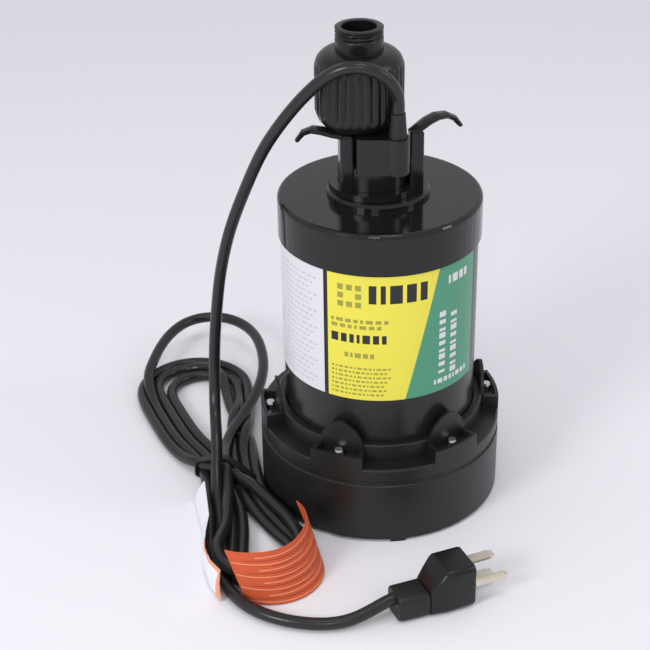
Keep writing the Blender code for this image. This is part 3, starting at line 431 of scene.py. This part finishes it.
def make_main_label():
    """Yellow and green fields with plain bars where the print is."""
    bm = bmesh.new()
    yellow = ((MAIN_LEFT, LABEL_BOTTOM), (EDGE_LOW, LABEL_BOTTOM), (EDGE_HIGH, LABEL_TOP),
              (MAIN_LEFT, LABEL_TOP))
    green = ((EDGE_LOW, LABEL_BOTTOM), (MAIN_RIGHT, LABEL_BOTTOM), (MAIN_RIGHT, LABEL_TOP),
             (EDGE_HIGH, LABEL_TOP))
    slab(bm, on_shell, yellow, *SKIN, YELLOW, across=24, up=12)
    slab(bm, on_shell, green, *SKIN, GREEN, across=24, up=12)
    ring = [(i, j) for i in range(3) for j in range(3) if (i, j) != (1, 1)]
    for i, j in ring:
        left, bottom = -24.0 + 5.2 * i, 0.1462 + 0.0052 * j
        bar(bm, left, left + 3.4, bottom, bottom + 0.0034, OLIVE)
    for line in MAIN_LINES:
        text_line(bm, *line)
    for rows, left, right, change, top, words in MAIN_PARAGRAPHS:
        for row in range(rows):
            end = right + change * (row % 2)
            text_line(bm, left, end, top - PARAGRAPH_STEP * row, 0.0012, words, OLIVE)
    for column, (left, right, top) in enumerate(GREEN_COLUMNS):
        for i in range(9):
            low = top - 0.0045 * (i + 1)
            high = low + 0.0034 - 0.0008 * ((i + column) % 3)
            bar(bm, left, right, low, high, WHITE)
    add_piece("label_main_print", bm, MAIN_FINISHES, "label_main")


def make_spec_label():
    """The white label with rows of faint bars."""
    bm = bmesh.new()
    sheet = box_corners(-128.0, -33.0, LABEL_BOTTOM, LABEL_TOP)
    slab(bm, on_shell, sheet, *SKIN, 0, across=48, up=2)
    rows = 20
    for row in range(rows):
        bottom = LABEL_TOP - 0.0075 - 0.0035 * row
        for start, words in ((-124.0, 11), (-78.0, 10)):
            text_line(bm, start, start + 40.0 - 3 * (row % 3), bottom, 0.0011, words, 1)
    add_piece("label_spec_print", bm, ["white", "grey ink"], "label_spec")


# ---------------------------------------------------------------- adapter

def adapter_radius(radius, z, angle):
    """Ribs down the body and a helical thread on the nipple."""
    same = 1e-6
    if abs(radius - ADAPTER_RADIUS) < same:
        wave = 0.5 - 0.5 * cos(RIB_COUNT * angle)
        return radius - RIB_DEPTH * (1.0 - wave ** 0.6)
    if abs(radius - NIPPLE_RADIUS) < same and THREAD_BOTTOM < z < ADAPTER_HIGH.z - NIPPLE_EDGE:
        turn = (z - THREAD_BOTTOM) / THREAD_PITCH - angle / (2 * pi)
        ridge = 1.0 - abs(2 * (turn % 1.0) - 1.0)
        fade = min(1.0, (z - THREAD_BOTTOM) / THREAD_PITCH)
        return radius - THREAD_DEPTH * (1.0 - ridge) * fade
    return radius


def make_adapter():
    """The ribbed adapter with its threaded nipple, turned from one closed profile."""
    bottom, top = ADAPTER_LOW.z, ADAPTER_HIGH.z
    profile = [(ADAPTER_BORE, bottom)] + [(radius, bottom + rise) for radius, rise in ADAPTER_FOOT]
    rows, low = 10, bottom + RIBS_START
    for i in range(rows + 1):
        profile.append((ADAPTER_RADIUS, low + (ADAPTER_SHOULDER - low) * i / rows))
    steps = 10
    width = ADAPTER_RADIUS - NIPPLE_RADIUS - ROUNDING
    height = NIPPLE_BOTTOM - ADAPTER_SHOULDER - ROUNDING
    for i in range(1, steps + 1):
        a = pi / 2 * i / steps
        profile.append((NIPPLE_RADIUS + 0.0001 + width * cos(a),
                        ADAPTER_SHOULDER + ROUNDING + height * sin(a)))
    rows, low = 44, NIPPLE_BOTTOM + 0.0004
    for i in range(rows + 1):
        profile.append((NIPPLE_RADIUS, low + (top - NIPPLE_EDGE - NIPPLE_BOTTOM) * i / rows))
    profile += [(NIPPLE_RADIUS - 0.0007, top), (NIPPLE_BORE + 0.0005, top), (NIPPLE_BORE, top - 0.0006),
                (NIPPLE_BORE, 0.2722), (0.0185, 0.2650), (ADAPTER_BORE, 0.2630)]
    bm = lathe(profile, OUTLET, RIB_COUNT * 12, adapter_radius)
    add_piece("hose_adapter_ribbed", bm, ["satin"], "hose_adapter")


# ---------------------------------------------------------------- curves

def smooth(points, step):
    """Points at equal steps along a Catmull-Rom curve through the given ones."""
    knots = [Vector(p) for p in points]
    knots = [2 * knots[0] - knots[1]] + knots + [2 * knots[-1] - knots[-2]]
    dense = []
    for a, b, c, d in zip(knots, knots[1:], knots[2:], knots[3:]):
        for i in range(16):
            t = i / 16
            dense.append(0.5 * (2 * b + (c - a) * t + (2 * a - 5 * b + 4 * c - d) * t ** 2
                                + (3 * b - a - 3 * c + d) * t ** 3))
    dense.append(knots[-2])
    line = np.array([tuple(p) for p in dense])
    along = np.concatenate(([0.0], np.cumsum(np.linalg.norm(np.diff(line, axis=0), axis=1))))
    count = max(2, round(along[-1] / step)) + 1
    marks = np.linspace(0.0, along[-1], count)
    return np.stack([np.interp(marks, along, line[:, k]) for k in range(3)], axis=1)


# ---------------------------------------------------------------- the lead

DROP_ROUTE = [
    (0.0096, -0.0212, 0.2464), (0.0096, -0.0214, 0.2524), (0.0080, -0.0244, 0.2612),
    (0.0034, -0.0272, 0.2686), (-0.0040, -0.0284, 0.2734), (-0.0128, -0.0280, 0.2750),
    (-0.0225, -0.0264, 0.2722), (-0.0325, -0.0236, 0.2640), (-0.0430, -0.0190, 0.2518),
    (-0.0540, -0.0130, 0.2360), (-0.0650, -0.0050, 0.2165), (-0.0760, 0.0030, 0.1900),
    (-0.0865, 0.0090, 0.1610), (-0.0938, 0.0150, 0.1300), (-0.0980, 0.0195, 0.1000),
    (-0.1003, 0.0214, 0.0780), (-0.1013, 0.0208, 0.0590), (-0.1014, 0.0178, 0.0475),
    (-0.1011, 0.0118, 0.0383), (-0.1002, 0.0035, 0.0330), (-0.0985, -0.0065, 0.0311),
]
TAIL_ROUTE = [
    (-0.0915, -0.0985, 0.0039), (-0.0880, -0.1100, 0.0039), (-0.0825, -0.1215, 0.0039),
    (-0.0745, -0.1322, 0.0039), (-0.0630, -0.1408, 0.0039), (-0.0475, -0.1470, 0.0039),
    (-0.0291, -0.1492, 0.0040), (-0.0140, -0.1474, 0.0056), (-0.0010, -0.1416, 0.0100),
    (0.0059, -0.1384, 0.0122), (0.0123, -0.1354, 0.0122),
]
# Outermost strands between the two ends of the hank, far end first: x, y, how far inner strands keep apart
LEFT_LANE = [
    (-0.1310, 0.0300, 1.0), (-0.1150, 0.0080, 1.0), (-0.1045, -0.0140, 1.0),
    (-0.0990, -0.0380, 1.0), (-0.0945, -0.0620, 0.8),
]
RIGHT_LANE = [
    (-0.0870, 0.0360, 1.0), (-0.0845, 0.0100, 1.0), (-0.0800, -0.0140, 1.0),
    (-0.0705, -0.0380, 1.0), (-0.0560, -0.0620, 1.0), (-0.0440, -0.0800, 0.7),
]
# Turns on the floor: far loop (x, y, radius, z), left lane (inset, z), near loop, right lane (inset, z)
TURNS = [
    ((-0.1165, 0.0840, 0.0240, 0.0045), (0.0148, 0.0045),
     (-0.0620, -0.0960, 0.0236, 0.0039), (0.0000, 0.0039)),
    ((-0.1270, 0.0900, 0.0245, 0.0100), (0.0074, 0.0045),
     (-0.0640, -0.0950, 0.0236, 0.0109), (0.0010, 0.0109)),
]
# Loops that lie on top of the turns: x, y, radius, z
TOP_FAR = (-0.1235, 0.0915, 0.0325, 0.0112)
TOP_NEAR = (-0.0655, -0.0940, 0.0238, 0.0179)
LAST_NEAR = (-0.0675, -0.0940, 0.0240, 0.0240)
# From the drop, down the left side on top of the rest
INTO_HANK = [(-0.0955, -0.0230, 0.0280), (-0.0925, -0.0400, 0.0220), (-0.0900, -0.0600, 0.0190)]
# Over the waist, from the far left to the near right
CROSS_OVER = [(-0.1330, 0.0330, 0.0120), (-0.1170, 0.0080, 0.0150), (-0.0990, -0.0080, 0.0200),
              (-0.0800, -0.0240, 0.0230), (-0.0655, -0.0430, 0.0230), (-0.0510, -0.0640, 0.0225)]
# Back over the waist, from the near left to the far right, and round the widest loop
WIDEST_LOOP = [(-0.0885, -0.0660, 0.0200), (-0.0900, -0.0440, 0.0230), (-0.0925, -0.0240, 0.0280),
               (-0.0955, -0.0020, 0.0290), (-0.0945, 0.0220, 0.0240), (-0.0880, 0.0460, 0.0195),
               (-0.0800, 0.0700, 0.0190), (-0.0773, 0.0929, 0.0190), (-0.0794, 0.1142, 0.0190),
               (-0.0858, 0.1370, 0.0190), (-0.0976, 0.1540, 0.0190), (-0.1111, 0.1620, 0.0190),
               (-0.1228, 0.1625, 0.0190), (-0.1347, 0.1575, 0.0190), (-0.1440, 0.1440, 0.0190),
               (-0.1500, 0.1270, 0.0190), (-0.1530, 0.1090, 0.0190), (-0.1530, 0.0880, 0.0180)]


def lane(side, inset, z):
    """Points down one side of the hank's middle, inset from its outermost strand."""
    edges = LEFT_LANE if side < 0 else RIGHT_LANE
    return [(x - side * inset * spread, y, z) for x, y, spread in edges]


def loop_arc(loop, start, end, steps):
    x, y, radius, z = loop
    points = []
    for i in range(steps + 1):
        a = radians(start + (end - start) * i / steps)
        points.append((x + radius * cos(a), y + radius * sin(a), z))
    return points


def hank_points():
    """The wound part of the lead, turn after turn, from the drop to the tail."""
    points = INTO_HANK + loop_arc(TOP_NEAR, 188, 365, 8) + lane(1, 0.0030, 0.0180)[::-1]
    for far, left, near, right in TURNS:
        points += loop_arc(far, 5, 195, 8)
        points += lane(-1, *left)
        points += loop_arc(near, 188, 365, 8)
        points += lane(1, *right)[::-1]
    points += loop_arc(TOP_FAR, 5, 190, 8) + CROSS_OVER
    points += loop_arc(LAST_NEAR, -5, -188, 8) + WIDEST_LOOP
    points += [(x, y, 0.0045) for x, y, _ in LEFT_LANE[:-1]] + [(-0.0950, -0.0620, 0.0045)]
    return points


def relax_bends(line, start, free, rounds):
    """Opens bends that are tighter than the lead allows."""
    most_sag = CORD_STEP ** 2 / (2 * TIGHTEST_BEND)
    for _ in range(rounds):
        sag = line[1:-1] - (line[:-2] + line[2:]) / 2
        depth = np.linalg.norm(sag, axis=1, keepdims=True) + 1e-9
        ease_out = sag * np.clip(1.0 - most_sag / depth, 0.0, None) * 0.5
        line[1:-1] -= ease_out
        line[:-2] += ease_out / 2
        line[2:] += ease_out / 2
        line[~free] = start[~free]
        line[:, 2] = np.maximum(line[:, 2], FLOOR_REST)


def settle(start, free):
    """Lets the turns sink and push each other apart until they lie on one another and on the floor."""
    held_up = (start[:, 2] > 0.0185) & (start[:, 1] > 0.05)    # the widest loop stands clear of the floor
    line = start.copy()
    index = np.arange(len(line))
    apart = np.abs(index[:, None] - index[None, :]) > 3
    wall = BASE_RADIUS + CORD_RADIUS + CLEARANCE
    for _ in range(SETTLE_ROUNDS):
        offset = line - start
        offset[1:-1] += STIFFNESS * ((offset[:-2] + offset[2:]) / 2 - offset[1:-1])
        offset[:, :2] *= 1.0 - TETHER
        line = start + offset
        line[~held_up, 2] -= FALL
        between = line[:, None] - line[None, :]
        distance = np.linalg.norm(between, axis=2) + np.eye(len(line))
        overlap = np.where(apart, np.clip(2 * CORD_RADIUS - distance, 0.0, None), 0.0)
        line += PUSH * (between * (overlap / distance)[..., None]).sum(axis=1)
        reach = np.hypot(line[:, 0], line[:, 1])
        line[:, :2] *= np.maximum(1.0, wall / reach)[:, None]
        line = keep_in_sleeve(line)
        relax_bends(line, start, free, BEND_ROUNDS)
    relax_bends(line, start, free, LAST_BEND_ROUNDS)
    return line


def keep_in_sleeve(line):
    """Moves points that are through the paper sleeve's wall back inside it."""
    up = np.clip((line[:, 2] - PAPER_FOOT) / SLEEVE_HEIGHT, 0.0, 1.0)
    x, y, radius = (a + (b - a) * up for a, b in zip(SLEEVE_FOOT, SLEEVE_RIM))
    reach = np.hypot(line[:, 0] - x, line[:, 1] - y)
    limit = radius - CORD_RADIUS - 0.0004 - CLEARANCE
    near_half = line[:, 1] < y + 0.35 * (line[:, 0] - x)
    at_wall = near_half & (reach > limit)
    shrink = np.where(at_wall, limit / reach, 1.0)
    moved = line.copy()
    moved[:, 0] = x + (line[:, 0] - x) * shrink
    moved[:, 1] = y + (line[:, 1] - y) * shrink
    return moved


def cord_line():
    """The middle of the whole lead, from the boss to the plug."""
    drop = smooth(DROP_ROUTE, CORD_STEP)
    tail = smooth(TAIL_ROUTE, CORD_STEP)
    start = smooth(DROP_ROUTE + hank_points() + TAIL_ROUTE, CORD_STEP)
    free = np.ones(len(start), bool)
    free[:len(drop) - 1] = False
    free[-len(tail):] = False
    line = smooth(settle(start, free), CORD_FINE)
    held = HELD_POINTS
    for _ in range(SMOOTH_ROUNDS):
        before, after = line[held - 1:-held - 1], line[held + 1:1 - held]
        line[held:-held] += 0.5 * ((before + after) / 2 - line[held:-held])
    return line


def make_cord(line):
    """The lead itself, which the plug, the tie and the paper go along with."""
    curve = bpy.data.curves.new("cord", "CURVE")
    curve.dimensions = "3D"
    curve.bevel_depth = CORD_RADIUS
    curve.bevel_resolution = 5
    curve.use_fill_caps = True
    spline = curve.splines.new("POLY")
    spline.points.add(len(line) - 1)
    for slot, point in zip(spline.points, line):
        slot.co = (*point, 1.0)
    spline.use_smooth = True
    cord = bpy.data.objects.new("cord", curve)
    bpy.context.collection.objects.link(cord)
    curve.materials.append(PALETTE["jacket"])
    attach(cord, "body")
    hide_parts("cord_drop", "cord_hank", "cord_tail")


# ---------------------------------------------------------------- plug

PLUG_FACE = Vector((0.0485, -0.1185, 0.0142))
PLUG_TURN = 25.0                  # degrees about Z
# Sections from front to back: along, half width, half height, corner radius, up
PLUG_SHELL = [
    (0.0000, 0.0104, 0.0126, 0.0030, 0.0000), (-0.0006, 0.0111, 0.0133, 0.0036, 0.0000),
    (-0.0018, 0.0114, 0.0136, 0.0038, 0.0000), (-0.0168, 0.0115, 0.0136, 0.0036, 0.0000),
    (-0.0184, 0.0113, 0.0130, 0.0036, -0.0006), (-0.0225, 0.0106, 0.0103, 0.0036, -0.0033),
    (-0.0257, 0.0100, 0.0078, 0.0034, -0.0058), (-0.0264, 0.0095, 0.0071, 0.0030, -0.0061),
]
PLUG_RELIEF = [
    (-0.0265, 0.0090, 0.0067, 0.0030, -0.0062), (-0.0271, 0.0094, 0.0072, 0.0034, -0.0062),
    (-0.0360, 0.0090, 0.0075, 0.0034, -0.0059), (-0.0434, 0.0084, 0.0079, 0.0034, -0.0055),
    (-0.0444, 0.0076, 0.0074, 0.0030, -0.0054),
]


def plug_ring(bm, along, half_width, half_height, corner, up):
    """A rounded rectangle across the plug."""
    forward = Vector((cos(radians(PLUG_TURN)), sin(radians(PLUG_TURN)), 0.0))
    sideways = Vector((forward.y, -forward.x, 0.0))
    middle = PLUG_FACE + forward * along
    steps = 6
    ring = []
    for quarter, (side, rise) in enumerate(((1, 1), (-1, 1), (-1, -1), (1, -1))):
        for i in range(steps + 1):
            a = radians(90 * (quarter + i / steps))
            across = side * (half_width - corner) + corner * cos(a)
            height = up + rise * (half_height - corner) + corner * sin(a)
            ring.append(bm.verts.new(middle + sideways * across + Vector((0.0, 0.0, height))))
    return ring


def make_plug_part(name, sections, finish, node):
    """A closed solid through the given sections."""
    bm = bmesh.new()
    rings = [plug_ring(bm, *section) for section in sections]
    for ring, after in zip(rings, rings[1:]):
        for i in range(len(ring)):
            j = (i + 1) % len(ring)
            bm.faces.new((ring[i], ring[j], after[j], after[i]))
    bm.faces.new(rings[0])
    bm.faces.new(rings[-1])
    add_piece(name, bm, [finish], node)


# ---------------------------------------------------------------- tie

def make_tie(line):
    """A flat strip drawn tight round the lower strands at the waist of the hank."""
    turn = radians(TIE_TURN)
    across = Vector((cos(turn), sin(turn), 0.0))
    down = Vector((-sin(turn), cos(turn), 0.0))
    strands = []
    for point in line:
        offset = Vector(point) - TIE_PLACE
        at_tie = abs(offset.dot(down)) < CORD_FINE
        if at_tie and abs(offset.dot(across)) < TIE_REACH and point[2] < TIE_REACH:
            strands.append((offset.dot(across), point[2]))
    strands = np.array(strands)

    def on_tie(degrees, along, out):
        outward = np.array([cos(radians(degrees)), sin(radians(degrees))])
        outermost = strands[np.argmax(strands @ outward)]
        side, height = outermost + outward * (CORD_RADIUS + 0.0002 + out)
        rise = Vector((0.0, 0.0, max(0.0004 + out, height)))
        return TIE_PLACE + across * side + down * along + rise

    bm = bmesh.new()
    half = TIE_WIDTH / 2
    slab(bm, on_tie, ((-60, -half), (240, -half), (240, half), (-60, half)), 0.0, 0.0010, 0, across=75, up=2)
    add_piece("hank_tie_strip", bm, ["moulded"], "hank_tie")


# ---------------------------------------------------------------- paper

SLEEVE_SHEET = ((-116, 0.0), (30, 0.0), (38, 1.0), (-116, 1.0))    # degrees, share of the height
# Foot of the white sheet: x, y, how far the sheet leans on the lead, how high it is
FLAP = [
    (-0.1110, -0.0330, 0.0060, 0.0130), (-0.1070, -0.0500, 0.0050, 0.0135),
    (-0.1025, -0.0680, 0.0035, 0.0140), (-0.1003, -0.0850, 0.0010, 0.0150),
    (-0.0983, -0.1010, 0.0000, 0.0165), (-0.0940, -0.1150, 0.0000, 0.0185),
    (-0.0868, -0.1265, 0.0000, 0.0200),
]


def on_sleeve(degrees, up, out):
    """A place on the leaning sleeve, with up from 0 at the floor to 1 at the rim."""
    x, y, radius = (a + (b - a) * up for a, b in zip(SLEEVE_FOOT, SLEEVE_RIM))
    a = radians(degrees)
    ripple = 0.0004 * sin(5 * a) * up
    reach = radius + out + ripple
    return x + reach * cos(a), y + reach * sin(a), PAPER_FOOT + up * SLEEVE_HEIGHT


def make_sleeve():
    """A strip of orange paper round the near end of the hank, with curved printed lines."""
    bm = bmesh.new()
    slab(bm, on_sleeve, SLEEVE_SHEET, 0.0, 0.0005, 0, across=48, up=6)
    for i in range(SLEEVE_LINES):
        up = 0.05 + 0.84 * i / (SLEEVE_LINES - 1)
        start, end = -114 + 14 * (i % 4), 26 + 6 * up - 13 * (i % 3)
        low = up + 0.03 * (i % 4) - 0.03
        high = low + 0.010 + 0.008 * (i % 2)
        corners = ((start, up), (end, low), (end, high), (start, up + 0.016))
        slab(bm, on_sleeve, corners, 0.0004, 0.00056, 1 + i % 2, across=40)
    add_piece("paper_sleeve_print", bm, ["orange", "pale orange", "dark orange"], "paper_sleeve")


def on_flap(along, up, out):
    """A place on the white end of the paper, which leans on the left of the hank."""
    marks = np.arange(len(FLAP))
    x, y, lean, height = (float(np.interp(along, marks, [row[k] for row in FLAP])) for k in range(4))
    curl = 0.0010 * sin(pi * up)
    return x + lean * up - curl + out, y + 0.002 * up, PAPER_FOOT + height * up


def make_flap():
    """The white sheet, with an orange border along its top and round its near end."""
    bm = bmesh.new()
    last = len(FLAP) - 1
    sheet = ((0.0, 0.0), (last, 0.0), (last, 1.0), (0.0, 1.0))
    top_border = ((3.4, 0.93), (last, 0.86), (last, 1.0), (3.4, 1.0))
    end_border = ((5.5, 0.0), (last, 0.0), (last, 0.86), (5.9, 0.86))
    slab(bm, on_flap, sheet, 0.0, 0.0004, 0, across=24, up=6)
    slab(bm, on_flap, top_border, -0.0001, 0.00045, 1, across=8)
    slab(bm, on_flap, end_border, -0.0001, 0.00045, 1, across=4, up=3)
    add_piece("paper_flap_sheet", bm, ["paper", "pale orange"], "paper_flap")


PALETTE = make_palette()
make_camera()
make_studio()
finish_nodes()
make_housing()
make_main_label()
make_spec_label()
make_adapter()
make_sleeve()
make_flap()
lead = cord_line()
make_tie(lead)
make_plug_part("plug_shell", PLUG_SHELL, "satin", "plug_body")
make_plug_part("plug_relief_block", PLUG_RELIEF, "moulded", "plug_strain_relief")
make_cord(lead)
